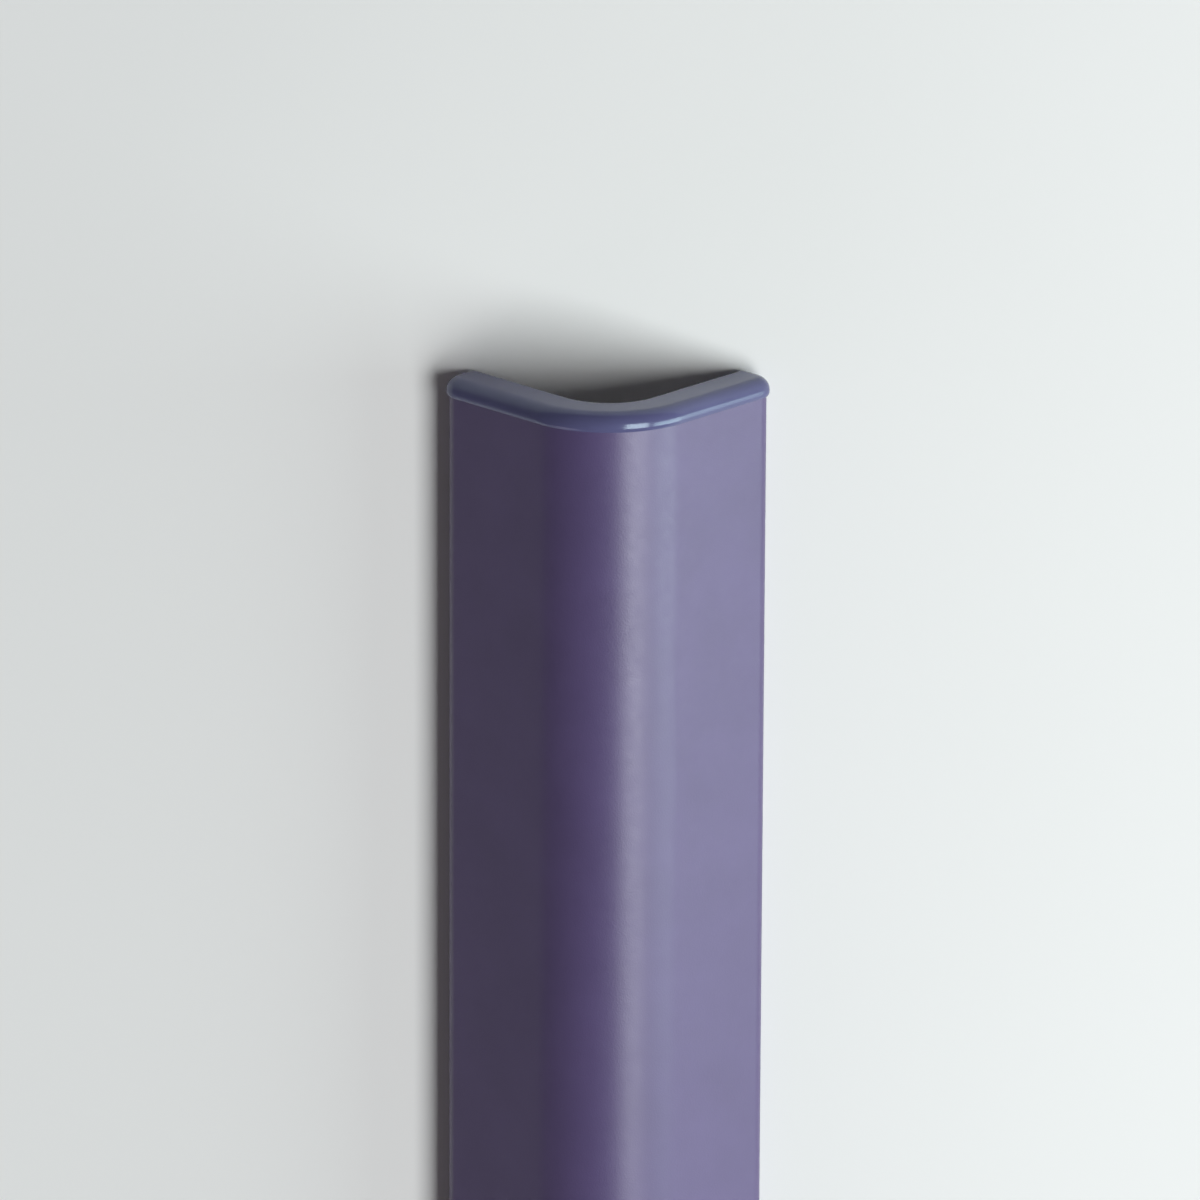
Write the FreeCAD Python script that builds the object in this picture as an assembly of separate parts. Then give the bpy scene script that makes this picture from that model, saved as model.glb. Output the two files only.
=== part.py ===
"""Corner guard moulding for an outside wall corner with a bullnose edge.

A vinyl cover snaps over an aluminium retainer, and one moulded cap closes each end. All lengths are
in millimetres.

The pieces are drawn in a section frame. Its origin is where the two outer faces would meet without
the nose, half way along the guard. One wing runs along +X and the other along +Y, so a place on a
wing is (w, n): w along the wing from the origin, n from the outer face in towards the wall. +Z runs
along the guard. The finished pieces are then turned to lie on their toes with the nose up, as the
guard lies on a floor: length along Y, and the origin on the floor under the middle.
"""
import FreeCAD
import Part
import math
import os

Vector = FreeCAD.Vector

OUT_AND_UP = Vector(1, 0, 1).normalize()
SAME_PLACE = 1e-4  # places and heights that differ by less are the same

# The whole guard
guard_length = 1219.2
wing_width = 76.2
guard_depth = 12.7
nose_radius = 31.75

# Vinyl cover: an even wall with a hooked lip along each toe
cover_thickness = 2.0
toe_radius = 6.0
lip_length = 7.0
lip_thickness = 1.6
lip_edge_radius = 0.7
lip_to_wall = 0.3

# Aluminium retainer: a band round the nose, a screw channel and a catch flange on each wing
retainer_thickness = 1.6
snap_clearance = 0.3
channel_to_toe = 12.8
channel_width = 15.6
extrusion_edge_radius = 0.5
extrusion_inside_radius = 0.8

# Wall screw holes, in one row along the floor of each screw channel
screw_hole_radius = 2.75
screw_count = 4
screw_end_distance = 60.0

# Moulded end caps: a crowned shell whose rim swells past the cover, and a spigot for each channel
cap_height = 6.2
cap_wall = 2.2
crown_radius = 4.7
rim_proud = 0.6
rim_swell = 0.5
back_edge_radius = 1.2
spigot_length = 28.0
spigot_wall = 1.8
spigot_clearance = 0.15
spigot_lead_in = 0.5

# Places that several pieces share
cover_length = guard_length - 2 * cap_height
lip_top = guard_depth - lip_to_wall - lip_thickness
retainer_face = cover_thickness + snap_clearance
channel_end = wing_width - channel_to_toe
channel_start = channel_end - channel_width
channel_floor = guard_depth - retainer_thickness
channel_middle = channel_start + channel_width / 2
bulge = rim_proud + rim_swell
bulge_height = cap_height - crown_radius
crown_inset = crown_radius - bulge


def corner_edges(points, closed=True):
    """Lines through (x, y, radius) corners, with an arc of that radius in place of each sharp corner."""
    count = len(points)
    arcs = []
    for i, (x, y, radius) in enumerate(points):
        corner = Vector(x, y, 0)
        if radius <= 0:
            arcs.append((corner, corner, corner))
            continue
        before = (Vector(*points[i - 1][:2], 0) - corner).normalize()
        after = (Vector(*points[(i + 1) % count][:2], 0) - corner).normalize()
        half_angle = before.getAngle(after) / 2
        reach = radius / math.tan(half_angle)
        inward = (before + after).normalize()
        middle = corner + inward * (radius / math.sin(half_angle) - radius)
        arcs.append((corner + before * reach, middle, corner + after * reach))
    edges = []
    for i, (start, middle, end) in enumerate(arcs):
        if start.distanceToPoint(end) > SAME_PLACE:
            edges.append(Part.Arc(start, middle, end).toShape())
        if closed or i < count - 1:
            next_start = arcs[(i + 1) % count][0]
            if end.distanceToPoint(next_start) > SAME_PLACE:
                edges.append(Part.LineSegment(end, next_start).toShape())
    return edges


def other_wing(points):
    """The same (w, n, radius) points on the other wing, in reverse order."""
    return [(n, w, radius) for w, n, radius in reversed(points)]


def both_wings(nose, wing_points, nose_back):
    """Face of a section that is the same on both wings.

    nose and nose_back are the (depth, radius) of its front and back corners, and wing_points run
    from the front to the back along one wing.
    """
    front = (nose[0], nose[0], nose[1])
    back = (nose_back[0], nose_back[0], nose_back[1])
    points = [front] + wing_points + [back] + other_wing(wing_points)
    return Part.Face(Part.Wire(corner_edges(points)))


def extruded(face, low, high):
    """The face of a section, drawn at z = 0, as a solid from low to high along the guard."""
    face.translate(Vector(0, 0, low))
    return face.extrude(Vector(0, 0, high - low))


def make_cover():
    """The extruded vinyl cover: two wings, the round nose and a hooked lip along each toe."""
    lip_bottom = lip_top + lip_thickness
    lip_end = wing_width - lip_length
    inside = wing_width - cover_thickness
    wing = [
        (wing_width, 0, toe_radius),
        (wing_width, lip_bottom, lip_edge_radius),
        (lip_end, lip_bottom, lip_edge_radius),
        (lip_end, lip_top, lip_edge_radius),
        (inside, lip_top, lip_edge_radius),
        (inside, cover_thickness, toe_radius - cover_thickness),
    ]
    section = both_wings((0, nose_radius), wing, (cover_thickness, nose_radius - cover_thickness))
    return extruded(section, -cover_length / 2, cover_length / 2)


def screw_places():
    """Places of the wall screws along the guard, evenly spaced between the two end ones."""
    first = -guard_length / 2 + screw_end_distance
    pitch = -2 * first / (screw_count - 1)
    return [first + i * pitch for i in range(screw_count)]


def make_retainer():
    """The extruded aluminium retainer, with its row of wall screw holes in each channel."""
    outer_wall = channel_end + retainer_thickness
    inner_wall = channel_start - retainer_thickness
    band_back = retainer_face + retainer_thickness
    flange_back = lip_top - snap_clearance
    flange_face = flange_back - retainer_thickness
    flange_end = wing_width - cover_thickness - snap_clearance
    edge, inside = extrusion_edge_radius, extrusion_inside_radius
    wing = [
        (channel_start, retainer_face, edge),
        (channel_start, channel_floor, inside),
        (channel_end, channel_floor, inside),
        (channel_end, retainer_face, edge),
        (outer_wall, retainer_face, edge),
        (outer_wall, flange_face, inside),
        (flange_end, flange_face, edge),
        (flange_end, flange_back, edge),
        (outer_wall, flange_back, inside),
        (outer_wall, guard_depth, edge),
        (inner_wall, guard_depth, edge),
        (inner_wall, band_back, inside),
    ]
    section = both_wings(
        (retainer_face, nose_radius - retainer_face), wing, (band_back, nose_radius - band_back)
    )
    retainer = extruded(section, -cover_length / 2, cover_length / 2)
    drills = []
    for z in screw_places():
        for start, towards_wall in (
            (Vector(channel_middle, retainer_face, z), Vector(0, 1, 0)),
            (Vector(retainer_face, channel_middle, z), Vector(1, 0, 0)),
        ):
            drills.append(Part.makeCylinder(screw_hole_radius, guard_depth, start, towards_wall))
    return retainer.cut(Part.Compound(drills))


def toe_place(inset, height):
    """A place on the wall plane at the toe of a cap, by its inset and its height above the cover."""
    return Vector(wing_width - inset, guard_depth, height)


def line(start, end):
    """A straight edge."""
    return Part.LineSegment(start, end).toShape()


def quarter(start, end, centre, radius, middle_direction):
    """A quarter circle from start to end whose middle lies in that direction from the centre."""
    return Part.Arc(start, centre + middle_direction * radius, end).toShape()


def cap_outside():
    """The outside of a cap's section: an arc swells from the rim to the bulge, a quarter crowns it."""
    swell_radius = (rim_swell ** 2 + bulge_height ** 2) / (2 * rim_swell)
    half_angle = math.asin(bulge_height / swell_radius) / 2
    swell_middle = toe_place(
        swell_radius * (1 - math.cos(half_angle)) - bulge,
        bulge_height - swell_radius * math.sin(half_angle),
    )
    widest = toe_place(-bulge, bulge_height)
    centre = toe_place(crown_inset, bulge_height)
    return [
        Part.Arc(toe_place(-rim_proud, 0), swell_middle, widest).toShape(),
        quarter(widest, toe_place(crown_inset, cap_height), centre, crown_radius, OUT_AND_UP),
    ]


def cap_rim_section():
    """Section of the cap's rim and crown, an even wall, at the toe on the wall plane."""
    inner_inset = cap_wall - bulge
    crown = toe_place(crown_inset, cap_height)
    ceiling = toe_place(crown_inset, cap_height - cap_wall)
    side = toe_place(inner_inset, bulge_height)
    centre = toe_place(crown_inset, bulge_height)
    inner_rim = toe_place(inner_inset, 0)
    return Part.Wire(cap_outside() + [
        line(crown, ceiling),
        quarter(ceiling, side, centre, crown_radius - cap_wall, OUT_AND_UP),
        line(side, inner_rim),
        line(inner_rim, toe_place(-rim_proud, 0)),
    ])


def make_toe_end():
    """The wall that closes the cap's rim and crown at the toe of the wing along X, on the wall side."""
    foot = toe_place(crown_inset, 0)
    outline = Part.Wire(cap_outside() + [
        line(toe_place(crown_inset, cap_height), foot),
        line(foot, toe_place(-rim_proud, 0)),
    ])
    return Part.Face(outline).extrude(Vector(0, -cap_wall, 0))


def make_spigot():
    """One U-shaped spigot of the cap, which slides into the screw channel of the wing along X."""
    near = channel_start + spigot_clearance
    far = channel_end - spigot_clearance
    front = cover_thickness + spigot_clearance
    back = channel_floor - spigot_clearance
    outline = [
        (near, front, 0),
        (near, back, extrusion_inside_radius),
        (far, back, extrusion_inside_radius),
        (far, front, 0),
        (far - spigot_wall, front, 0),
        (far - spigot_wall, back - spigot_wall, 0),
        (near + spigot_wall, back - spigot_wall, 0),
        (near + spigot_wall, front, 0),
    ]
    face = Part.Face(Part.Wire(corner_edges(outline)))
    spigot = extruded(face, -spigot_length, cap_height - cap_wall)
    tip_edges = [e for e in spigot.Edges if e.BoundBox.ZMax < -spigot_length + SAME_PLACE]
    return spigot.makeChamfer(spigot_lead_in, tip_edges)


def on_back_edge(edge):
    """Whether an edge of the cap lies between its flat top and its wall side."""
    middle = edge.valueAt((edge.FirstParameter + edge.LastParameter) / 2)
    to_nose_axis = math.hypot(middle.x - nose_radius, middle.y - nose_radius)
    on_flat_wall = min(abs(middle.x - guard_depth), abs(middle.y - guard_depth)) < SAME_PLACE
    on_round_wall = abs(to_nose_axis - (nose_radius - guard_depth)) < SAME_PLACE
    return edge.BoundBox.ZMin > cap_height - SAME_PLACE and (on_flat_wall or on_round_wall)


def make_cap():
    """The moulded end cap, standing on the cover's end at z = 0 with its crown towards +Z.

    The rounding of its back edge runs on down the toes to the rim.
    """
    path = Part.Wire(corner_edges([
        (wing_width, guard_depth, 0),
        (wing_width, 0, toe_radius),
        (0, 0, nose_radius),
        (0, wing_width, toe_radius),
        (guard_depth, wing_width, 0),
    ], closed=False))
    rim = path.makePipeShell([cap_rim_section()], True, True)

    crown_end = wing_width - crown_inset
    top = extruded(both_wings(
        (crown_inset, nose_radius - crown_inset),
        [(crown_end, crown_inset, toe_radius - crown_inset), (crown_end, guard_depth, 0)],
        (guard_depth, nose_radius - guard_depth),
    ), cap_height - cap_wall, cap_height)

    back_inside = guard_depth - cap_wall
    back = extruded(both_wings(
        (back_inside, nose_radius - back_inside),
        [(crown_end, back_inside, 0), (crown_end, guard_depth, 0)],
        (guard_depth, nose_radius - guard_depth),
    ), 0, cap_height)

    wing_pieces = [make_toe_end(), make_spigot()]
    other_pieces = [piece.mirror(Vector(0, 0, 0), Vector(1, -1, 0)) for piece in wing_pieces]
    cap = rim.multiFuse([top, back] + wing_pieces + other_pieces).removeSplitter()
    return cap.makeFillet(back_edge_radius, [e for e in cap.Edges if on_back_edge(e)])


def lay_down(shape):
    """Turn a piece from the section frame to where it lies, nose up, on the caps' toe corners."""
    half = math.sqrt(0.5)
    toe_corner = wing_width + bulge + guard_depth - 2 * back_edge_radius
    rise = toe_corner * half + back_edge_radius
    return shape.transformed(FreeCAD.Matrix(
        half, -half, 0, 0,
        0, 0, 1, 0,
        -half, -half, 0, rise,
        0, 0, 0, 1,
    ), True)


def main():
    """Build each piece and write one STEP file for each."""
    top_cap = make_cap()
    bottom_cap = top_cap.copy()
    top_cap.translate(Vector(0, 0, cover_length / 2))
    bottom_cap.rotate(Vector(0, 0, 0), Vector(1, 1, 0), 180)
    bottom_cap.translate(Vector(0, 0, -cover_length / 2))
    pieces = {
        "vinyl_cover": make_cover(),
        "aluminium_retainer": make_retainer(),
        "top_cap": top_cap,
        "bottom_cap": bottom_cap,
    }
    os.makedirs("parts", exist_ok=True)
    for name, piece in pieces.items():
        solid = lay_down(piece)
        box = solid.BoundBox
        print(name, "valid" if solid.isValid() else "NOT VALID", len(solid.Solids), "solid",
              f"{solid.Volume:.1f} mm3", f"x {box.XMin:.2f} {box.XMax:.2f}",
              f"y {box.YMin:.2f} {box.YMax:.2f}", f"z {box.ZMin:.2f} {box.ZMax:.2f}")
        solid.exportStep(f"parts/{name}.step")


main()
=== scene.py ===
"""Looks of the corner guard moulding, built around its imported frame.

The guard lies on a pale floor with its nose up and its length along Y. All lengths are in metres.
Places on its section are (a, b): a runs along the right wing and b along the left one, both from
where the two outer faces would meet without the nose. On the right wing a place is therefore
(w, n), w along the wing and n in from the outer face, and on the left wing it is (n, w).
"""
from __future__ import annotations

import logging
import math
from collections.abc import Callable
from dataclasses import dataclass
from enum import Enum

import bmesh
import bpy
import numpy as np
from mathutils import Matrix, Vector

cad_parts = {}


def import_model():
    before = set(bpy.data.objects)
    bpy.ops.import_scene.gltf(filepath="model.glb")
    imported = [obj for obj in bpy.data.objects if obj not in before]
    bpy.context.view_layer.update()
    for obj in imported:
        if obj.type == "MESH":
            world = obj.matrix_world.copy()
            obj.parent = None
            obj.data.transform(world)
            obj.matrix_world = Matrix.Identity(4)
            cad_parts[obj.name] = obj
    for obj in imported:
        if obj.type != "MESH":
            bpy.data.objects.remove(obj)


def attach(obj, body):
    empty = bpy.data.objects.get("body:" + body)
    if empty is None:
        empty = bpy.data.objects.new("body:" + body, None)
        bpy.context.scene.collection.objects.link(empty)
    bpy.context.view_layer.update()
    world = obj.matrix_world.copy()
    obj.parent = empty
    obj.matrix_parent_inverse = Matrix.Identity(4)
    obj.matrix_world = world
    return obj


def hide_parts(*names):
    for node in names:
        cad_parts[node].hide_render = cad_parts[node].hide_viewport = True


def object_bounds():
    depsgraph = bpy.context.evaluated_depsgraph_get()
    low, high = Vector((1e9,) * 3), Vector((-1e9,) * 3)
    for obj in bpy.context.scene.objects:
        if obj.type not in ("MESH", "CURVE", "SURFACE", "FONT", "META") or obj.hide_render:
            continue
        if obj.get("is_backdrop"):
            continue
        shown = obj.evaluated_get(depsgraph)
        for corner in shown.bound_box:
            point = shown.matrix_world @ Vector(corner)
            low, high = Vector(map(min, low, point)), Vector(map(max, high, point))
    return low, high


LOG = logging.getLogger("corner_guard")
HALF = math.sqrt(0.5)
ROOT = "root"
BACKGROUND = (0.82, 0.83, 0.84)
MERGE_DISTANCE = 1e-6
ARC_STEP = math.radians(2.0)
FINE_ARC_STEP = math.radians(7.5)
SHARP = math.radians(30.0)
EDGE_RUN = 0.0004
FLAT_SHARES = (0.0, 0.08, 0.5, 0.92, 1.0)
NOISE_RANGE = (0.3, 0.7)
Triple = tuple[float, float, float]
Place = Callable[[np.ndarray, "np.ndarray | float"], np.ndarray]


@dataclass(frozen=True)
class GuardSizes:
    """Driving sizes of the whole guard, as in the part."""

    length: float = 1.2192
    wing: float = 0.0762
    depth: float = 0.0127
    nose: float = 0.03175
    toe: float = 0.006
    cover_wall: float = 0.002
    retainer_wall: float = 0.0016
    snap_clearance: float = 0.0003
    lip_wall: float = 0.0016
    lip_to_wall: float = 0.0003
    channel_to_toe: float = 0.0128
    channel_width: float = 0.0156
    cap_height: float = 0.0062
    rim_proud: float = 0.0006
    rim_swell: float = 0.0005
    back_edge: float = 0.0012

    @property
    def cover_end(self) -> float:
        """Height of the cover's end along the guard, where a cap sits."""
        return self.length / 2 - self.cap_height

    @property
    def bulge(self) -> float:
        """How far a cap stands proud of the cover where it is widest."""
        return self.rim_proud + self.rim_swell

    @property
    def rise(self) -> float:
        """Height above the floor of the line where the two outer faces would meet."""
        return (self.wing + self.bulge + self.depth - 2 * self.back_edge) * HALF + self.back_edge

    @property
    def lip_top(self) -> float:
        """Depth of the face of the cover's lip that catches the retainer."""
        return self.depth - self.lip_to_wall - self.lip_wall

    @property
    def retainer_face(self) -> float:
        """Depth of the retainer's front face."""
        return self.cover_wall + self.snap_clearance

    @property
    def channel_end(self) -> float:
        """Place along the wing of the screw channel's wall nearest the toe."""
        return self.wing - self.channel_to_toe

    @property
    def channel_start(self) -> float:
        """Place along the wing of the screw channel's wall nearest the nose."""
        return self.channel_end - self.channel_width

    @property
    def channel_floor(self) -> float:
        """Depth of the inside of the screw channel's floor."""
        return self.depth - self.retainer_wall

    def lay(self, section: np.ndarray, along: np.ndarray | float) -> np.ndarray:
        """Row places of section places: x = (a - b) / sqrt 2, y = along, z = rise - (a + b) / sqrt 2.

        Args:
            section: places (a, b) in the last axis.
            along: place along the guard, of a shape that fits the section's.

        Returns:
            Places (x, y, z) in the last axis.
        """
        a, b = section[..., 0], section[..., 1]
        y = np.broadcast_to(along, a.shape)
        return np.stack([(a - b) * HALF, y, self.rise - (a + b) * HALF], axis=-1)


def rounded_outline(
    corners: list[Triple], step: float = ARC_STEP, edge_run: float = EDGE_RUN
) -> np.ndarray:
    """Closed outline through corners, each with its own arc of radius r.

    With half angle h between a corner's two sides, its arc starts and ends r / tan h from the corner
    and is centred r / sin h along the line that halves them. Long straight runs get two more points,
    a short way in from their ends, which keep the shading of the arcs off the flats.

    Args:
        corners: (a, b, radius) of each corner, in order.
        step: greatest turn between two points of an arc, in radians.
        edge_run: how far in from its ends a long straight run gets its points, or 0 for none.

    Returns:
        Points (a, b), one row each.
    """
    places = np.array([c[:2] for c in corners])
    runs = []
    for i, (_, _, radius) in enumerate(corners):
        corner = places[i]
        if radius <= 0:
            runs.append(corner[None, :])
            continue
        before = places[i - 1] - corner
        after = places[(i + 1) % len(corners)] - corner
        before /= np.linalg.norm(before)
        after /= np.linalg.norm(after)
        half = math.acos(np.clip(before @ after, -1, 1)) / 2
        inward = (before + after) / np.linalg.norm(before + after)
        centre = corner + inward * radius / math.sin(half)
        start = corner + before * radius / math.tan(half) - centre
        end = corner + after * radius / math.tan(half) - centre
        turn = math.pi - 2 * half
        t = np.linspace(0, 1, max(3, math.ceil(turn / step) + 1))[:, None]
        arc = (np.sin((1 - t) * turn) * start + np.sin(t * turn) * end) / math.sin(turn)
        runs.append(centre + arc)
    points = []
    for run, following in zip(runs, runs[1:] + runs[:1]):
        points.append(run)
        gap = following[0] - run[-1]
        length = np.linalg.norm(gap)
        if edge_run > 0 and length > 4 * edge_run:
            step_in = gap * edge_run / length
            points.append(np.stack([run[-1] + step_in, following[0] - step_in]))
    return np.concatenate(points)


def both_wings(
    nose: tuple[float, float], wing: list[Triple], back: tuple[float, float]
) -> list[Triple]:
    """Corners of a section that is the same on both wings.

    Args:
        nose: (depth, radius) of the front corner.
        wing: (w, n, radius) of the corners along one wing, from front to back.
        back: (depth, radius) of the back corner.

    Returns:
        (a, b, radius) of every corner, round the section.
    """
    mirrored = [(n, w, r) for w, n, r in reversed(wing)]
    return [(nose[0], nose[0], nose[1])] + wing + [(back[0], back[0], back[1])] + mirrored


def smooth(mesh: bpy.types.Mesh) -> None:
    """Shade a mesh smooth but for its sharp edges.

    Args:
        mesh: the mesh.
    """
    mesh.polygons.foreach_set("use_smooth", np.ones(len(mesh.polygons), bool))
    mesh.set_sharp_from_angle(angle=SHARP)
    mesh.update()


class Joining(Enum):
    """What a second solid does to a first one."""

    CUT = "DIFFERENCE"
    ADD = "UNION"


def combine(piece: bpy.types.Object, other: bpy.types.Object, joining: Joining) -> None:
    """Cut a second solid out of a piece, or add it to the piece, and remove the second one.

    Args:
        piece: the piece, whose mesh is replaced by the result.
        other: the second solid.
        joining: whether it is cut or added.
    """
    step = piece.modifiers.new("combine", "BOOLEAN")
    step.operation = joining.value
    step.solver = "EXACT"
    step.object = other
    bpy.context.view_layer.update()
    done = bpy.data.meshes.new_from_object(piece.evaluated_get(bpy.context.evaluated_depsgraph_get()))
    piece.modifiers.clear()
    piece.data = done
    done.name = piece.name
    smooth(done)
    bpy.data.objects.remove(other)


class Shell:
    """Grids of quads and flat polygons, gathered into one closed mesh."""

    def __init__(self) -> None:
        """Start with no points and no faces."""
        self.points: list[np.ndarray] = []
        self.faces: list[list[int]] = []
        self.count = 0

    def grid(self, points: np.ndarray) -> None:
        """Add a surface.

        Args:
            points: places on a grid of two parameters, with x, y and z in the last axis.
        """
        rows, columns = points.shape[:2]
        index = np.arange(rows * columns).reshape(rows, columns) + self.count
        quads = np.stack([index[:-1, :-1], index[1:, :-1], index[1:, 1:], index[:-1, 1:]], axis=-1)
        self.points.append(points.reshape(-1, 3))
        self.faces += quads.reshape(-1, 4).tolist()
        self.count += rows * columns

    def polygon(self, points: np.ndarray) -> None:
        """Add a flat face.

        Args:
            points: its corners, one row each.
        """
        self.points.append(points)
        self.faces.append(list(range(self.count, self.count + len(points))))
        self.count += len(points)

    def prism(self, outlines: np.ndarray) -> None:
        """Add a closed solid, flat at both ends.

        Args:
            outlines: closed outlines of equal length, from one end of the solid to the other.
        """
        self.grid(np.concatenate([outlines, outlines[:, :1]], axis=1))
        self.polygon(outlines[0])
        self.polygon(outlines[-1])

    def make(self, name: str) -> bpy.types.Object:
        """Make the object, merged, facing outwards and smooth but for its sharp edges.

        Args:
            name: the object's and mesh's name.

        Returns:
            The new object, linked to the scene.
        """
        mesh = bpy.data.meshes.new(name)
        mesh.from_pydata(np.concatenate(self.points).tolist(), [], self.faces)
        work = bmesh.new()
        work.from_mesh(mesh)
        bmesh.ops.remove_doubles(work, verts=work.verts, dist=MERGE_DISTANCE)
        bmesh.ops.dissolve_degenerate(work, edges=work.edges, dist=MERGE_DISTANCE)
        bmesh.ops.recalc_face_normals(work, faces=work.faces)
        work.to_mesh(mesh)
        work.free()
        smooth(mesh)
        piece = bpy.data.objects.new(name, mesh)
        bpy.context.scene.collection.objects.link(piece)
        return piece


class Pattern(Enum):
    """How a finish's pattern runs over a piece."""

    EVEN = (1.0, 1.0, 1.0)
    DRAWN = (1.0, 0.004, 1.0)


def shade(colour: Triple, factor: float) -> Triple:
    """A colour made lighter or darker by a factor."""
    return tuple(min(1.0, c * factor) for c in colour)


@dataclass(frozen=True)
class Noise:
    """A noise over a piece: features per metre, octaves, strength of the finer ones, and its run."""

    per_metre: float
    octaves: float
    fineness: float
    pattern: Pattern = Pattern.EVEN


class Nodes:
    """A material's node tree, with short ways to add the nodes that the finishes use."""

    def __init__(self, name: str) -> None:
        """Start a material whose tree holds one Principled shader and its output.

        Args:
            name: the material's name.
        """
        self.material = bpy.data.materials.new(name)
        self.material.use_nodes = True
        self.tree = self.material.node_tree
        self.shader = self.tree.nodes["Principled BSDF"]
        self.place = self.add("ShaderNodeTexCoord").outputs["Object"]

    def add(self, kind: str, **values: object) -> bpy.types.Node:
        """Add a node.

        Args:
            kind: the node's type.
            values: its properties.

        Returns:
            The new node.
        """
        node = self.tree.nodes.new(kind)
        for key, value in values.items():
            setattr(node, key, value)
        return node

    def link(self, source: bpy.types.NodeSocket, target: bpy.types.NodeSocket) -> None:
        """Join two sockets."""
        self.tree.links.new(source, target)

    def noise(self, kind: Noise) -> bpy.types.NodeSocket:
        """Add a noise over the piece's own place.

        Args:
            kind: the noise.

        Returns:
            Its value's socket.
        """
        mapping = self.add("ShaderNodeMapping")
        mapping.inputs["Scale"].default_value = kind.pattern.value
        node = self.add("ShaderNodeTexNoise")
        node.inputs["Scale"].default_value = kind.per_metre
        node.inputs["Detail"].default_value = kind.octaves
        node.inputs["Roughness"].default_value = kind.fineness
        self.link(self.place, mapping.inputs["Vector"])
        self.link(mapping.outputs["Vector"], node.inputs["Vector"])
        return node.outputs["Fac"]

    def pebbles(self, per_metre: float, softness: float) -> bpy.types.NodeSocket:
        """Add a pattern of rounded pebbles.

        Args:
            per_metre: pebbles per metre.
            softness: how far they melt into one another, from 0 to 1.

        Returns:
            The socket of the distance from a pebble's middle.
        """
        node = self.add("ShaderNodeTexVoronoi", feature="SMOOTH_F1")
        node.inputs["Scale"].default_value = per_metre
        node.inputs["Smoothness"].default_value = softness
        self.link(self.place, node.inputs["Vector"])
        return node.outputs["Distance"]

    def spread(self, kind: Noise, low: float = 0.0, high: float = 1.0) -> bpy.types.NodeSocket:
        """Map the middle range of a noise to low and high.

        Args:
            kind: the noise.
            low: value at the range's lower end.
            high: value at its upper end.

        Returns:
            The mapped value's socket.
        """
        node = self.add("ShaderNodeMapRange")
        node.inputs["From Min"].default_value = NOISE_RANGE[0]
        node.inputs["From Max"].default_value = NOISE_RANGE[1]
        node.inputs["To Min"].default_value = low
        node.inputs["To Max"].default_value = high
        self.link(self.noise(kind), node.inputs["Value"])
        return node.outputs["Result"]

    def mottle(self, factor: bpy.types.NodeSocket, colour: Triple, reach: float) -> None:
        """Drive the base colour by a factor.

        Args:
            factor: 0 for the darkest tone and 1 for the lightest.
            colour: the middle tone.
            reach: how much darker and lighter the two tones are, as a share.
        """
        node = self.add("ShaderNodeMix", data_type="RGBA")
        colours = {socket.name: socket for socket in node.inputs if socket.type == "RGBA"}
        colours["A"].default_value = (*shade(colour, 1 - reach), 1.0)
        colours["B"].default_value = (*shade(colour, 1 + reach), 1.0)
        self.link(factor, node.inputs["Factor"])
        result = next(socket for socket in node.outputs if socket.type == "RGBA")
        self.link(result, self.shader.inputs["Base Color"])

    def roughen(self, kind: Noise, middle: float, reach: float) -> None:
        """Drive the roughness by a noise.

        Args:
            kind: the noise.
            middle: the middle roughness.
            reach: how far the roughness goes either side of it.
        """
        self.link(self.spread(kind, middle - reach, middle + reach), self.shader.inputs["Roughness"])

    def vector(
        self, operation: str, first: bpy.types.NodeSocket, second: Triple = (0.0, 0.0, 0.0)
    ) -> bpy.types.NodeSocket:
        """Result of one vector operation.

        Args:
            operation: the operation's name.
            first: its first value.
            second: its second value, where it has one.

        Returns:
            The result's socket.
        """
        node = self.add("ShaderNodeVectorMath", operation=operation)
        self.link(first, node.inputs[0])
        node.inputs[1].default_value = second
        return node.outputs["Value" if operation == "LENGTH" else "Vector"]

    def bump(
        self, height: bpy.types.NodeSocket, depth: float, under: bpy.types.NodeSocket | None = None
    ) -> bpy.types.NodeSocket:
        """Bump of a real depth.

        Args:
            height: the pattern.
            depth: depth of the pattern, in metres.
            under: the normal of a coarser bump below this one.

        Returns:
            The normal socket.
        """
        node = self.add("ShaderNodeBump")
        node.inputs["Distance"].default_value = depth
        self.link(height, node.inputs["Height"])
        if under is not None:
            self.link(under, node.inputs["Normal"])
        return node.outputs["Normal"]


@dataclass(frozen=True)
class SuedeVinyl:
    """Extruded rigid vinyl with a fine, even pebbled grain and a satin sheen."""

    colour: Triple = (0.095, 0.067, 0.163)
    roughness: float = 0.38
    gloss: float = 0.58
    sheen_tint: Triple = (0.95, 0.95, 1.0)
    mottle: float = 0.05
    unevenness: float = 0.04
    clouds: Noise = Noise(45.0, 4.0, 0.55)
    patches: Noise = Noise(300.0, 3.0, 0.6)
    waves: Noise = Noise(9.0, 1.0, 0.4)
    wave_depth: float = 0.0001
    grain_per_metre: float = 1900.0
    grain_softness: float = 0.7
    grain_depth: float = 0.000026

    def material(self) -> bpy.types.Material:
        """Build the material: mottled colour, uneven roughness, pebbled bump on faint waves.

        Returns:
            The vinyl's material.
        """
        nodes = Nodes("suede_vinyl")
        nodes.mottle(nodes.spread(self.clouds), self.colour, self.mottle)
        nodes.roughen(self.patches, self.roughness, self.unevenness)
        wave = nodes.bump(nodes.noise(self.waves), self.wave_depth)
        pebbles = nodes.pebbles(self.grain_per_metre, self.grain_softness)
        nodes.link(nodes.bump(pebbles, self.grain_depth, wave), nodes.shader.inputs["Normal"])
        nodes.shader.inputs["Specular IOR Level"].default_value = self.gloss
        nodes.shader.inputs["Specular Tint"].default_value = (*self.sheen_tint, 1.0)
        return nodes.material


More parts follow.
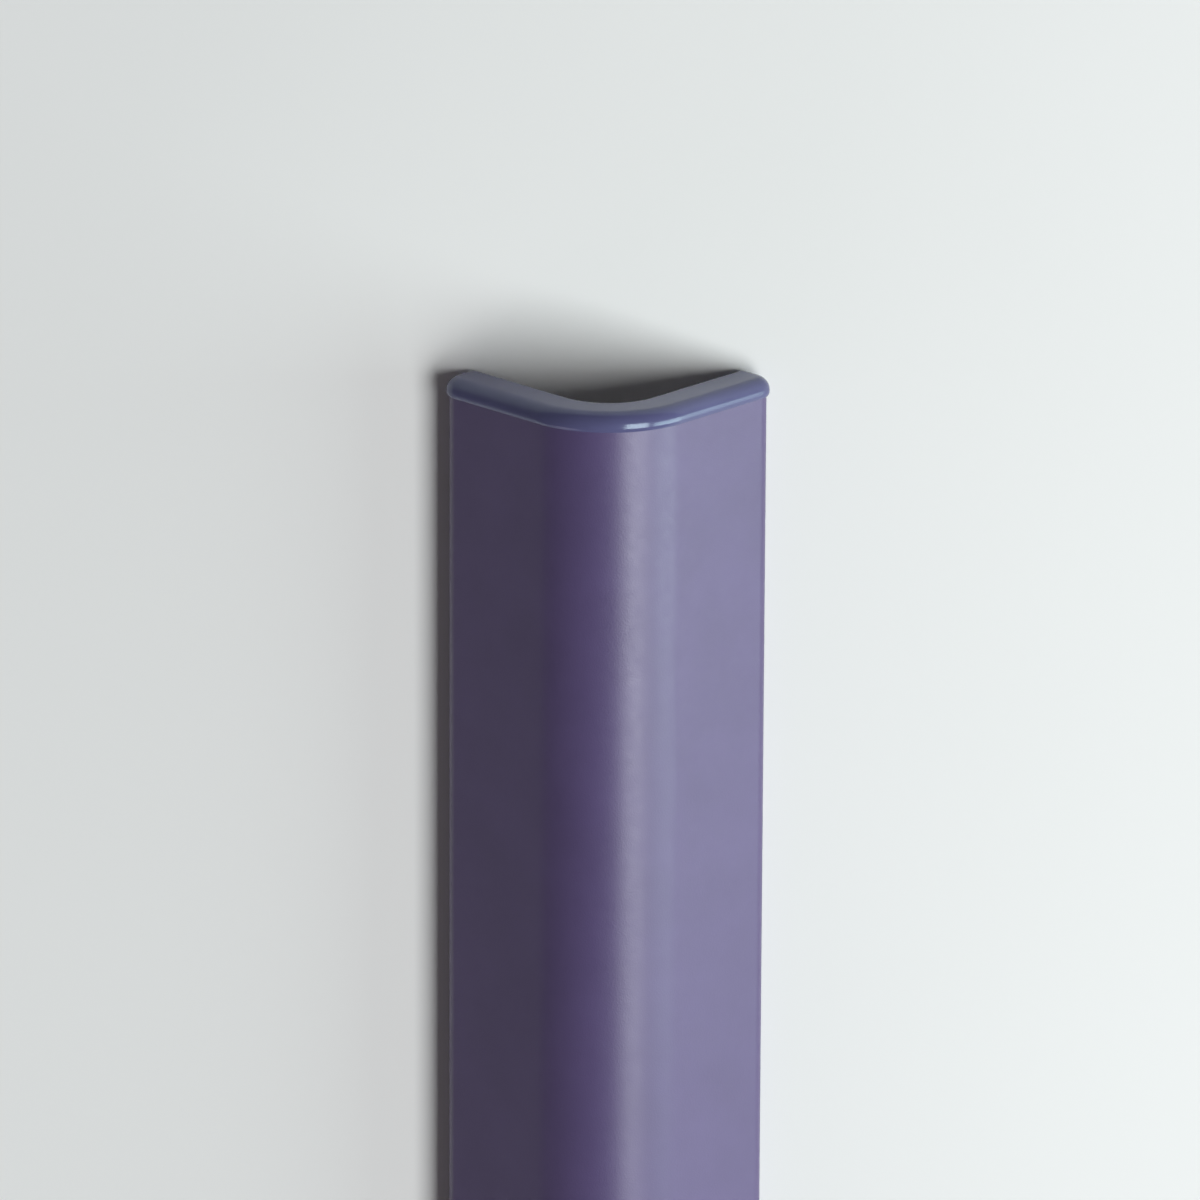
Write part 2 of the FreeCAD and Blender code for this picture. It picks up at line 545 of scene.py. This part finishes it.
@dataclass(frozen=True)
class MouldedPlastic:
    """Injection-moulded plastic: smoother, glossier and a little bluer than the vinyl."""

    colour: Triple = (0.095, 0.091, 0.196)
    roughness: float = 0.17
    gloss: float = 0.6
    sheen_tint: Triple = (0.78, 0.92, 1.0)
    mottle: float = 0.06
    unevenness: float = 0.02
    flow_marks: Noise = Noise(70.0, 3.0, 0.5)
    patches: Noise = Noise(420.0, 2.0, 0.5)
    peel: Noise = Noise(650.0, 2.0, 0.4)
    peel_depth: float = 0.000006

    def material(self) -> bpy.types.Material:
        """Build the material: faint flow marks in colour, uneven gloss, and a faint orange peel.

        Returns:
            The plastic's material.
        """
        nodes = Nodes("moulded_plastic")
        nodes.mottle(nodes.spread(self.flow_marks), self.colour, self.mottle)
        nodes.roughen(self.patches, self.roughness, self.unevenness)
        nodes.link(nodes.bump(nodes.noise(self.peel), self.peel_depth), nodes.shader.inputs["Normal"])
        nodes.shader.inputs["Specular IOR Level"].default_value = self.gloss
        nodes.shader.inputs["Specular Tint"].default_value = (*self.sheen_tint, 1.0)
        return nodes.material


@dataclass(frozen=True)
class MillAluminium:
    """Extruded aluminium as it leaves the die: satin metal with fine lines along its length."""

    colour: Triple = (0.74, 0.75, 0.77)
    roughness: float = 0.4
    mottle: float = 0.08
    unevenness: float = 0.06
    die_lines: Noise = Noise(2200.0, 3.0, 0.6, Pattern.DRAWN)
    streaks: Noise = Noise(1400.0, 2.0, 0.5, Pattern.DRAWN)
    line_depth: float = 0.000005

    def material(self) -> bpy.types.Material:
        """Build the material: die lines in colour and bump, and streaks in gloss.

        Returns:
            The metal's material.
        """
        nodes = Nodes("mill_aluminium")
        lines = nodes.spread(self.die_lines)
        nodes.mottle(lines, self.colour, self.mottle)
        nodes.roughen(self.streaks, self.roughness, self.unevenness)
        nodes.link(nodes.bump(lines, self.line_depth), nodes.shader.inputs["Normal"])
        nodes.shader.inputs["Metallic"].default_value = 1.0
        return nodes.material


@dataclass(frozen=True)
class PaleFloor:
    """Plain pale studio floor, which passes into the background away from the guard.

    The camera sees the lit floor with its shadows out to a distance from the guard, and past that
    a smooth blend into the background's even tone. All other rays meet the lit floor everywhere.
    """

    colour: Triple = (0.811, 0.785, 0.778)
    roughness: float = 0.9
    gloss: float = 0.1
    mottle: float = 0.01
    clouds: Noise = Noise(3.0, 3.0, 0.5)
    blend_start: float = 0.14
    blend_end: float = 0.6

    def material(self, half_length: float) -> bpy.types.Material:
        """Build the material: matt, with a barely seen unevenness, and the blend.

        Args:
            half_length: half of the guard's length.

        Returns:
            The floor's material.
        """
        nodes = Nodes("pale_floor")
        nodes.mottle(nodes.spread(self.clouds), self.colour, self.mottle)
        nodes.shader.inputs["Roughness"].default_value = self.roughness
        nodes.shader.inputs["Specular IOR Level"].default_value = self.gloss
        aside = nodes.vector("ABSOLUTE", nodes.place)
        past = nodes.vector("MAXIMUM", nodes.vector("SUBTRACT", aside, (0.0, half_length, 0.0)))
        fade = nodes.add("ShaderNodeMapRange", interpolation_type="SMOOTHSTEP")
        fade.inputs["From Min"].default_value = self.blend_start
        fade.inputs["From Max"].default_value = self.blend_end
        nodes.link(nodes.vector("LENGTH", past), fade.inputs["Value"])
        share = nodes.add("ShaderNodeMath", operation="MULTIPLY")
        nodes.link(fade.outputs["Result"], share.inputs[0])
        nodes.link(nodes.add("ShaderNodeLightPath").outputs["Is Camera Ray"], share.inputs[1])
        tone = nodes.add("ShaderNodeEmission")
        tone.inputs["Color"].default_value = (*BACKGROUND, 1.0)
        mix = nodes.add("ShaderNodeMixShader")
        nodes.link(share.outputs["Value"], mix.inputs["Fac"])
        nodes.link(nodes.shader.outputs["BSDF"], mix.inputs[1])
        nodes.link(tone.outputs["Emission"], mix.inputs[2])
        nodes.link(mix.outputs["Shader"], nodes.tree.nodes["Material Output"].inputs["Surface"])
        return nodes.material


def dress(piece: bpy.types.Object, material: bpy.types.Material, slot: str, *nodes: str) -> None:
    """Finish a piece, set it on the guard's body and let it stand for its solids.

    Args:
        piece: the new piece.
        material: its finish.
        slot: the material slot's name, which is not used.
        nodes: the solids that it stands for.
    """
    piece.data.materials.clear()
    piece.data.materials.append(material)
    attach(piece, ROOT)
    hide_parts(*nodes)


@dataclass
class VinylCover:
    """The extruded cover: an even wall over both wings and the nose, and a hooked lip at each toe."""

    sizes: GuardSizes
    lip_length: float = 0.007
    lip_edge: float = 0.0007
    stations: int = 62

    def outline(self) -> np.ndarray:
        """Draw the cover's section, from the outer face at the toe round the lip to the inner face.

        Returns:
            Its points (a, b), one row each.
        """
        s = self.sizes
        inside = s.wing - s.cover_wall
        lip_bottom = s.lip_top + s.lip_wall
        lip_end = s.wing - self.lip_length
        wing = [
            (s.wing, 0.0, s.toe),
            (s.wing, lip_bottom, self.lip_edge),
            (lip_end, lip_bottom, self.lip_edge),
            (lip_end, s.lip_top, self.lip_edge),
            (inside, s.lip_top, self.lip_edge),
            (inside, s.cover_wall, s.toe - s.cover_wall),
        ]
        return rounded_outline(both_wings((0.0, s.nose), wing, (s.cover_wall, s.nose - s.cover_wall)))

    def build(self) -> bpy.types.Object:
        """Carry the section along the guard: place(i, j) = section(j) at y(i).

        Returns:
            The finished cover.
        """
        s = self.sizes
        outline = self.outline()
        along = np.linspace(-s.cover_end, s.cover_end, self.stations)
        shell = Shell()
        shell.prism(s.lay(np.broadcast_to(outline, (self.stations, *outline.shape)), along[:, None]))
        piece = shell.make("extruded_cover")
        dress(piece, SuedeVinyl().material(), "cover_vinyl", "vinyl_cover")
        return piece


@dataclass
class AluminiumRetainer:
    """The extruded retainer: a band round the nose, a screw channel and a catch flange on each wing."""

    sizes: GuardSizes
    edge: float = 0.0005
    inside: float = 0.0008
    screw_radius: float = 0.00275
    screw_count: int = 4
    screw_end_distance: float = 0.060
    screw_facets: int = 48

    def outline(self) -> np.ndarray:
        """Draw the retainer's section, from the screw channel out to the flange and back inside.

        Returns:
            Its points (a, b), one row each.
        """
        s = self.sizes
        outer_wall = s.channel_end + s.retainer_wall
        inner_wall = s.channel_start - s.retainer_wall
        band_back = s.retainer_face + s.retainer_wall
        flange_back = s.lip_top - s.snap_clearance
        flange_face = flange_back - s.retainer_wall
        flange_end = s.wing - s.cover_wall - s.snap_clearance
        wing = [
            (s.channel_start, s.retainer_face, self.edge),
            (s.channel_start, s.channel_floor, self.inside),
            (s.channel_end, s.channel_floor, self.inside),
            (s.channel_end, s.retainer_face, self.edge),
            (outer_wall, s.retainer_face, self.edge),
            (outer_wall, flange_face, self.inside),
            (flange_end, flange_face, self.edge),
            (flange_end, flange_back, self.edge),
            (outer_wall, flange_back, self.inside),
            (outer_wall, s.depth, self.edge),
            (inner_wall, s.depth, self.edge),
            (inner_wall, band_back, self.inside),
        ]
        nose = (s.retainer_face, s.nose - s.retainer_face)
        return rounded_outline(both_wings(nose, wing, (band_back, s.nose - band_back)))

    def drills(self) -> bpy.types.Object:
        """Make a cylinder for each wall screw: a circle in the wing's plane, carried through it.

        Returns:
            All the cylinders as one object.
        """
        s = self.sizes
        first = s.length / 2 - self.screw_end_distance
        middle = s.channel_end - s.channel_width / 2
        turn = np.linspace(0, 2 * math.pi, self.screw_facets, endpoint=False)
        depths = np.array([s.channel_floor - s.retainer_wall, s.depth + s.retainer_wall])
        shell = Shell()
        for y in np.linspace(-first, first, self.screw_count):
            w = middle + self.screw_radius * np.cos(turn)
            circle = np.stack(np.broadcast_arrays(w, depths[:, None]), -1)
            along = y + self.screw_radius * np.sin(turn)
            shell.prism(s.lay(circle, along))
            shell.prism(s.lay(circle[..., ::-1], along))
        return shell.make("screw_drills")

    def build(self) -> bpy.types.Object:
        """Carry the section along the guard, then cut the screw holes.

        Returns:
            The finished retainer.
        """
        s = self.sizes
        outline = self.outline()
        ends = np.array([-s.cover_end, s.cover_end])
        shell = Shell()
        shell.prism(s.lay(np.broadcast_to(outline, (2, *outline.shape)), ends[:, None]))
        piece = shell.make("extruded_retainer")
        combine(piece, self.drills(), Joining.CUT)
        dress(piece, MillAluminium().material(), "retainer_aluminium", "aluminium_retainer")
        return piece


class End(Enum):
    """The guard's two ends, each with the way that it faces along Y."""

    TOP = 1.0
    FOOT = -1.0


@dataclass
class EndCap:
    """A moulded cap: a crowned, hollow shell with a swelling rim, and a spigot for each channel."""

    sizes: GuardSizes
    finish: bpy.types.Material
    wall: float = 0.0022
    crown: float = 0.0047
    spigot_length: float = 0.028
    spigot_wall: float = 0.0018
    spigot_clearance: float = 0.00015
    spigot_lead_in: float = 0.0005
    spigot_corner: float = 0.0008
    rim_rows: int = 9
    arc_rows: int = 9
    toe_side_columns: int = 7
    toe_columns: int = 19
    wing_columns: int = 22

    @property
    def bulge_height(self) -> float:
        """Height of the cap's widest line above the cover's end."""
        return self.sizes.cap_height - self.crown

    @property
    def crown_inset(self) -> float:
        """How far in from the cover's outer face the crown reaches the flat top."""
        return self.crown - self.sizes.bulge

    def outer_profile(self, shrink: float = 0.0) -> np.ndarray:
        """Outside of the rim and crown, as (inset, height) from the rim up.

        The swell is an arc of radius (s^2 + h^2) / 2 s, with s the swell and h the bulge's height,
        which stands upright at the bulge. A quarter circle follows. Each point then moves shrink
        inwards along its own normal, but the rim stays on the cover's end.

        Args:
            shrink: how far the outline moves inwards.

        Returns:
            Points (inset, height), one row each.
        """
        s = self.sizes
        swell = (s.rim_swell ** 2 + self.bulge_height ** 2) / (2 * s.rim_swell)
        low = np.linspace(-math.asin(self.bulge_height / swell), 0, self.rim_rows)[:-1]
        high = np.linspace(0, math.pi / 2, math.ceil(math.pi / 2 / FINE_ARC_STEP) * 2 + 1)
        lower = np.stack([
            swell - s.bulge - (swell - shrink) * np.cos(low),
            self.bulge_height + (swell - shrink) * np.sin(low),
        ], -1)
        upper = np.stack([
            self.crown_inset - (self.crown - shrink) * np.cos(high),
            self.bulge_height + (self.crown - shrink) * np.sin(high),
        ], -1)
        lower[0, 1] = 0.0
        return np.concatenate([lower, upper])

    def inner_profile(self) -> np.ndarray:
        """Inside of the rim and crown, an even wall in from the outside.

        Returns:
            Points (inset, height), one row each.
        """
        side = self.wall - self.sizes.bulge
        radius = self.crown - self.wall
        turn = np.linspace(0, math.pi / 2, self.arc_rows)
        insets = self.crown_inset - radius * np.cos(turn)
        heights = self.bulge_height + radius * np.sin(turn)
        return np.concatenate([[[side, 0.0]], np.stack([insets, heights], -1)])

    def stations(self, start: float) -> tuple[np.ndarray, np.ndarray, np.ndarray]:
        """Half of the path along the cover's outer face, from the right toe to the nose.

        Args:
            start: depth at which the path starts on the toe.

        Returns:
            Places (w, n) on the face, the directions in from it, and how far along the back line
            each one's partner lies: w for the wing, and for the nose the angle past it.
        """
        s = self.sizes
        down = np.linspace(start, s.toe, self.toe_side_columns)[:-1]
        turn = np.linspace(0, math.pi / 2, self.toe_columns)
        run = np.linspace(s.wing - s.toe, s.nose, self.wing_columns)[1:-1]
        run = np.concatenate([[s.wing - s.toe - EDGE_RUN], run[1:-1], [s.nose + EDGE_RUN]])
        bend = np.linspace(0, math.pi / 4, math.ceil(math.pi / 4 / ARC_STEP) + 1)
        places = np.concatenate([
            np.stack([np.full_like(down, s.wing), down], -1),
            np.stack([s.wing - s.toe + s.toe * np.cos(turn), s.toe - s.toe * np.sin(turn)], -1),
            np.stack([run, np.zeros_like(run)], -1),
            np.stack([s.nose - s.nose * np.sin(bend), s.nose - s.nose * np.cos(bend)], -1),
        ])
        inward = np.concatenate([
            np.stack([-np.ones_like(down), np.zeros_like(down)], -1),
            np.stack([-np.cos(turn), np.sin(turn)], -1),
            np.stack([np.zeros_like(run), np.ones_like(run)], -1),
            np.stack([np.sin(bend), np.cos(bend)], -1),
        ])
        fan = np.linspace(s.wing - self.crown_inset, s.wing - s.toe, len(down) + len(turn))
        return places, inward, np.concatenate([fan, run, s.nose - bend])

    def back_line(self, along: np.ndarray, depth: float) -> np.ndarray:
        """Places of the path's partners on a line at one depth, along the wing and round the nose.

        Args:
            along: how far along the line each one lies, as stations() gives it.
            depth: depth of the line.

        Returns:
            Places (w, n), one row each.
        """
        nose = self.sizes.nose
        on_wing = along >= nose
        bend = np.where(on_wing, 0.0, nose - along)
        reach = nose - depth
        w = np.where(on_wing, along, nose - reach * np.sin(bend))
        n = np.where(on_wing, depth, nose - reach * np.cos(bend))
        return np.stack([w, n], -1)

    @staticmethod
    def whole(half: np.ndarray) -> np.ndarray:
        """Both halves of a grid of section places whose first axis runs from toe to nose."""
        return np.concatenate([half, half[-2::-1, ..., ::-1]])

    def skin(self, shell: Shell, profile: np.ndarray, depth: float, place: Place) -> None:
        """Add the rim and crown along the path, and the flat from the crown to the back line.

        Args:
            shell: the cap's mesh.
            profile: (inset, height) of the rim and crown.
            depth: depth of the back line, where the path starts too.
            place: turns section places and heights into row places.
        """
        places, inward, along = self.stations(depth)
        ring = places[:, None, :] + profile[None, :, :1] * inward[:, None, :]
        shell.grid(place(self.whole(ring), profile[:, 1]))
        back = self.back_line(along, depth)
        t = np.array(FLAT_SHARES)[None, :, None]
        flat = ring[:, -1:, :] * (1 - t) + back[:, None, :] * t
        shell.grid(place(self.whole(flat), profile[-1, 1]))

    def build(self, name: str, node: str, end: End) -> bpy.types.Object:
        """Build one cap.

        Args:
            name: the piece's name.
            node: the solid that it stands for.
            end: the end of the guard that it sits on.

        Returns:
            The finished piece.
        """
        s = self.sizes

        def place(section: np.ndarray, height: np.ndarray | float) -> np.ndarray:
            """Row places of section places at heights above the cover's end."""
            heights = np.broadcast_to(height, section.shape[:-1])
            return s.lay(section, end.value * (s.cover_end + heights))

        shell = Shell()
        outer = self.outer_profile()
        inner = self.inner_profile()
        edge_depth = s.depth - s.back_edge
        inner_depth = s.depth - self.wall
        self.skin(shell, outer, edge_depth, place)
        self.skin(shell, inner, inner_depth, place)
        self.back_edge(shell, place)
        self.walls(shell, inner, inner_depth, place)
        piece = shell.make(name)
        self.close_rim(piece.data, end)
        combine(piece, self.spigots(place), Joining.ADD)
        dress(piece, self.finish, "cap_plastic", node)
        return piece

    def back_edge(self, shell: Shell, place: Place) -> None:
        """Round the back edge, down the toes and along the top, and add the wall side.

        At a turn t the edge lies r sin t nearer the wall, and its outline is r (1 - cos t) inside
        the cap's outside.

        Args:
            shell: the cap's mesh.
            place: turns section places and heights into row places.
        """
        s = self.sizes
        r = s.back_edge
        turn = np.linspace(0, math.pi / 2, self.arc_rows)
        depths = s.depth - r + r * np.sin(turn)
        profiles = np.stack([self.outer_profile(r * (1 - math.cos(t))) for t in turn])
        toe = np.stack(np.broadcast_arrays(s.wing - profiles[..., 0], depths[:, None]), -1)
        for side in (toe, toe[..., ::-1]):
            shell.grid(place(side, profiles[..., 1]))
        _, _, along = self.stations(s.depth - r)
        line = np.stack([self.back_line(along, d) for d in depths], axis=1)
        heights = s.cap_height - r * (1 - np.cos(turn))
        shell.grid(place(self.whole(line), heights))
        wall = self.back_line(along, s.depth)
        levels = np.array(FLAT_SHARES[::-1]) * (s.cap_height - r)
        side = np.broadcast_to(wall[:, None, :], (len(wall), len(levels), 2))
        shell.grid(place(self.whole(side), levels))
        down = np.stack([np.full(len(levels) - 1, self.crown_inset), levels[1:]], -1)
        outline = np.concatenate([profiles[-1], down])
        flat = np.stack([s.wing - outline[:, 0], np.full(len(outline), s.depth)], -1)
        for side in (flat, flat[..., ::-1]):
            shell.polygon(place(side, outline[:, 1]))

    def walls(self, shell: Shell, inner: np.ndarray, depth: float, place: Place) -> None:
        """Add the inside of the back wall, and close its toe ends up to the rim's inside.

        Args:
            shell: the cap's mesh.
            inner: (inset, height) of the rim's and crown's inside.
            depth: depth of the back wall's inside.
            place: turns section places and heights into row places.
        """
        s = self.sizes
        _, _, along = self.stations(depth)
        line = self.back_line(along, depth)
        ceiling = s.cap_height - self.wall
        t = np.array([1.0, 0.0])
        side = np.broadcast_to(line[:, None, :], (len(line), len(t), 2))
        shell.grid(place(self.whole(side), t * ceiling))
        outline = np.concatenate([inner, [[self.crown_inset, 0.0]]])
        flat = np.stack([s.wing - outline[:, 0], np.full(len(outline), depth)], -1)
        for side in (flat, flat[..., ::-1]):
            shell.polygon(place(side, outline[:, 1]))

    def spigots(self, place: Place) -> bpy.types.Object:
        """Make the U-shaped spigots, from just inside the top down into the channels.

        Args:
            place: turns section places and heights into row places.

        Returns:
            Both spigots as one object.
        """
        s = self.sizes
        c, w = self.spigot_clearance, self.spigot_wall
        outlines = []
        for inset in (self.spigot_lead_in, 0.0, 0.0):
            near, far = s.channel_start + c + inset, s.channel_end - c - inset
            front, back = s.cover_wall + c + inset, s.channel_floor - c - inset
            thin = w - 2 * inset
            corner = self.spigot_corner - inset
            outlines.append(rounded_outline([
                (near, front, 0), (near, back, corner), (far, back, corner), (far, front, 0),
                (far - thin, front, 0), (far - thin, back - thin, 0),
                (near + thin, back - thin, 0), (near + thin, front, 0),
            ], FINE_ARC_STEP, 0.0))
        stack = np.stack(outlines)
        top = s.cap_height - self.wall / 2
        heights = np.array([-self.spigot_length, self.spigot_lead_in - self.spigot_length, top])
        shell = Shell()
        for side in (stack, stack[..., ::-1]):
            shell.prism(place(side, heights[:, None]))
        return shell.make("spigots")

    def close_rim(self, mesh: bpy.types.Mesh, end: End) -> None:
        """Fill the flat ring between the outside and the inside where the cap sits on the cover.

        Args:
            mesh: the cap's mesh.
            end: the end of the guard that the cap sits on.
        """
        seat = end.value * self.sizes.cover_end
        work = bmesh.new()
        work.from_mesh(mesh)
        open_edges = [
            e for e in work.edges
            if e.is_boundary and all(abs(v.co.y - seat) < MERGE_DISTANCE for v in e.verts)
        ]
        bmesh.ops.triangle_fill(work, use_beauty=True, edges=open_edges, normal=(0.0, -end.value, 0.0))
        bmesh.ops.recalc_face_normals(work, faces=work.faces)
        still_open = sum(e.is_boundary for e in work.edges)
        work.to_mesh(mesh)
        work.free()
        smooth(mesh)
        LOG.info("%s: %d edges still open", mesh.name, still_open)


@dataclass(frozen=True)
class Softbox:
    """A rectangular lamp: its place, its size, and its face's brightness, 1 for white, and colour."""

    name: str
    place: Triple
    across: float
    length: float
    radiance: float
    colour: Triple


@dataclass
class Studio:
    """The floor, the lamps and the camera, which stands as it does to the guard in the photograph."""

    sizes: GuardSizes
    floor_reach: float = 40.0
    view_reach: float = 200.0
    lamp_aim: Triple = (0.0, 0.5, 0.0)
    ambient: float = 0.08
    image: float = 1200.0
    pitch: float = 17.69
    swing: float = 0.877
    roll: float = 0.271
    scale: float = 3124.0
    focal: float = 12211.0
    reference: tuple[float, float] = (610.4, 444.8)
    sensor: float = 36.0

    def floor(self) -> None:
        """A flat square floor at height zero, as a grid of two parameters."""
        side = (-self.floor_reach, 0.0, self.floor_reach)
        x, y = np.meshgrid(side, side)
        shell = Shell()
        shell.grid(np.stack([y, x, np.zeros_like(x)], axis=-1))
        floor = shell.make("studio_floor")
        floor.data.materials.append(PaleFloor().material(self.sizes.length / 2))
        floor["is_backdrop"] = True

    def camera(self) -> None:
        """Place the camera by its angles to the guard.

        Seen upright on a wall the guard's directions are right, away and up, which lie along X, -Z
        and Y here. The camera looks level along away, is pitched down, swung and rolled, and stands
        focal / scale from the reference place, where the outer faces would meet at the cover's end.
        It then turns a little so that this place falls on its own pixel.
        """
        pitch, swing, roll = (math.radians(v) for v in (self.pitch, self.swing, self.roll))

        def turned(right: float, away: float, up: float) -> Vector:
            """A direction in the row frame, from the guard's own directions on a wall."""
            return Vector((right, up, -away))

        forward = math.cos(pitch)
        rising = math.sin(pitch)
        ahead = turned(math.sin(swing) * forward, math.cos(swing) * forward, -rising)
        level = turned(math.cos(swing), -math.sin(swing), 0.0)
        above = turned(math.sin(swing) * rising, math.cos(swing) * rising, forward)
        right = level * math.cos(roll) + above * math.sin(roll)
        up = above * math.cos(roll) - level * math.sin(roll)
        place = Vector((0.0, self.sizes.cover_end, self.sizes.rise)) - ahead * (self.focal / self.scale)
        middle = self.image / 2
        across = middle - self.reference[0]
        down = middle - self.reference[1]
        aim = (ahead * self.focal + right * across - up * down).normalized()
        right = (right - aim * right.dot(aim)).normalized()
        up = right.cross(aim)
        data = bpy.data.cameras.new("camera")
        data.sensor_width = self.sensor
        data.lens = self.focal / self.image * self.sensor
        data.clip_end = self.view_reach
        camera = bpy.data.objects.new("camera", data)
        camera.matrix_world = Matrix((
            (right.x, up.x, -aim.x, place.x),
            (right.y, up.y, -aim.y, place.y),
            (right.z, up.z, -aim.z, place.z),
            (0.0, 0.0, 0.0, 1.0),
        ))
        bpy.context.scene.collection.objects.link(camera)
        bpy.context.scene.camera = camera

    def softbox(self, box: Softbox) -> None:
        """Hang a lamp that faces the guard's upper half, with its length as near to Y as it goes.

        Args:
            box: the lamp.
        """
        data = bpy.data.lights.new(box.name, "AREA")
        data.shape = "RECTANGLE"
        data.size = box.across
        data.size_y = box.length
        data.energy = box.radiance * math.pi * box.across * box.length
        data.color = box.colour
        place = Vector(box.place)
        back = (place - Vector(self.lamp_aim)).normalized()
        side = Vector((0.0, 1.0, 0.0)).cross(back).normalized()
        top = back.cross(side)
        lamp = bpy.data.objects.new(box.name, data)
        lamp.matrix_world = Matrix((
            (side.x, top.x, back.x, place.x),
            (side.y, top.y, back.y, place.y),
            (side.z, top.z, back.z, place.z),
            (0.0, 0.0, 0.0, 1.0),
        ))
        lamp.visible_camera = False
        bpy.context.scene.collection.objects.link(lamp)

    def lamps(self) -> None:
        """Two softboxes over the right wing, and a dim one that lights the left from the foot end."""
        for box in (
            Softbox("side_softbox", (2.256, 0.15, 0.82), 1.6, 1.2, 6.3, (0.84, 1.0, 0.99)),
            Softbox("key_softbox", (1.24, 0.3, 2.06), 1.1, 1.7, 9.6, (0.91, 0.965, 0.97)),
            Softbox("fill_softbox", (-1.8, -1.86, 0.84), 1.2, 1.2, 1.2, (1.0, 0.8, 0.92)),
        ):
            self.softbox(box)

    def world(self) -> None:
        """A dim even world, which the camera sees in the background's tone."""
        world = bpy.data.worlds.new("studio_world")
        bpy.context.scene.world = world
        world.use_nodes = True
        tree = world.node_tree
        mix = tree.nodes.new("ShaderNodeMix")
        mix.data_type = "RGBA"
        tones = {socket.name: socket for socket in mix.inputs if socket.type == "RGBA"}
        tones["A"].default_value = (self.ambient, self.ambient, self.ambient, 1.0)
        tones["B"].default_value = (*BACKGROUND, 1.0)
        path = tree.nodes.new("ShaderNodeLightPath")
        tree.links.new(path.outputs["Is Camera Ray"], mix.inputs["Factor"])
        result = next(socket for socket in mix.outputs if socket.type == "RGBA")
        tree.links.new(result, tree.nodes["Background"].inputs["Color"])

    def build(self) -> None:
        """Set up the whole studio and the plain view settings."""
        self.floor()
        self.lamps()
        self.world()
        self.camera()
        bpy.context.scene.view_settings.view_transform = "Standard"


def corners(bounds: tuple[Vector, Vector]) -> list[list[float]]:
    """Two corners as plain lists."""
    return [list(corner) for corner in bounds]


def main() -> None:
    """Load the frame, build and report each piece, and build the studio."""
    logging.basicConfig(level=logging.INFO, format="%(name)s %(message)s")
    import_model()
    solid_box = corners(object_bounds())
    sizes = GuardSizes()
    pieces = [VinylCover(sizes).build(), AluminiumRetainer(sizes).build()]
    caps = EndCap(sizes, MouldedPlastic().material())
    pieces.append(caps.build("moulded_top_cap", "top_cap", End.TOP))
    pieces.append(caps.build("moulded_bottom_cap", "bottom_cap", End.FOOT))
    for piece in pieces:
        LOG.info("%s: %d faces", piece.name, len(piece.data.polygons))
    Studio(sizes).build()
    bpy.context.view_layer.update()
    {"solids": solid_box, "visual": corners(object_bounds())}


if __name__ == "__main__":
    main()
